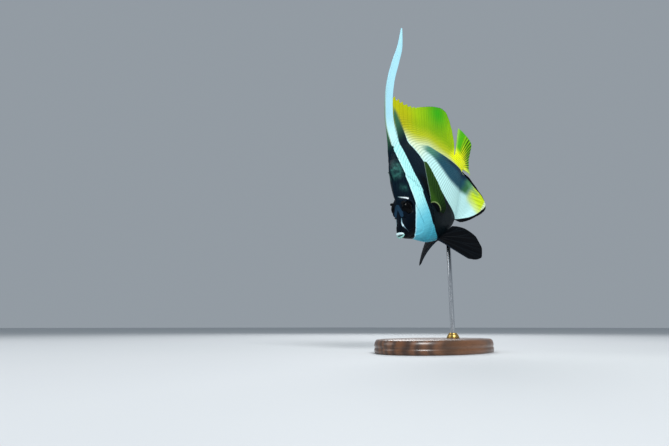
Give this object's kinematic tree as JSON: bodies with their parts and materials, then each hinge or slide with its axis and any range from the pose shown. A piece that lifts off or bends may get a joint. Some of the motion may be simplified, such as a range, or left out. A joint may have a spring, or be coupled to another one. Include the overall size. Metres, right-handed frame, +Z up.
{
  "type": "masked bannerfish museum model",
  "caption": "Life-size still model of a masked bannerfish with a long white back-fin banner, hovering head down on a plain display stand.",
  "frame": {"origin": "centre of the stand base's underside, on the floor", "axes": "+Z up, the fish heads towards -X and its left side faces -Y"},
  "size_m": [0.2039, 0.104, 0.3665],
  "materials": {
    "mask_skin": "satin black skin with a faint blue cast",
    "lip_skin": "moist grey-white lip",
    "eye": "wet dark eye",
    "horn": "rough bony skin",
    "body_skin": "finely scaled pearl and black skin",
    "tail_skin": "finely scaled yellow skin",
    "black_fin": "soft black membrane over rays",
    "banner": "soft white membrane",
    "spiny_fin": "white membrane turning yellow, over spines",
    "soft_fin": "yellow-olive membrane over fine rays",
    "anal_fin": "white membrane with a yellow tip and black edge",
    "tail_fin": "yellow membrane with an olive edge",
    "pectoral_fin": "thin olive membrane over fine rays",
    "stand_wood": "oiled dark wood",
    "stand_steel": "brushed",
    "stand_brass": "satin"
  },
  "bodies": {
    "root": {"head": "mask_skin", "upper_lip": "lip_skin", "lower_lip": "lip_skin", "torso": "body_skin", "tail_base": "tail_skin", "dorsal_fin_front": "black_fin", "dorsal_banner": "banner", "dorsal_fin_spiny": "spiny_fin", "dorsal_fin_soft": "soft_fin", "anal_fin": "anal_fin", "caudal_fin": "tail_fin", "eye_left": "eye", "eye_right": "eye", "horn_left": "horn", "horn_right": "horn", "gill_cover_left": "body_skin", "gill_cover_right": "body_skin", "pectoral_fin_left": "pectoral_fin", "pectoral_fin_right": "pectoral_fin", "pelvic_fin_left": "black_fin", "pelvic_fin_right": "black_fin", "stand_base": "stand_wood", "stand_collar": "stand_brass", "stand_rod": "stand_steel"}
  },
  "joints": []
}
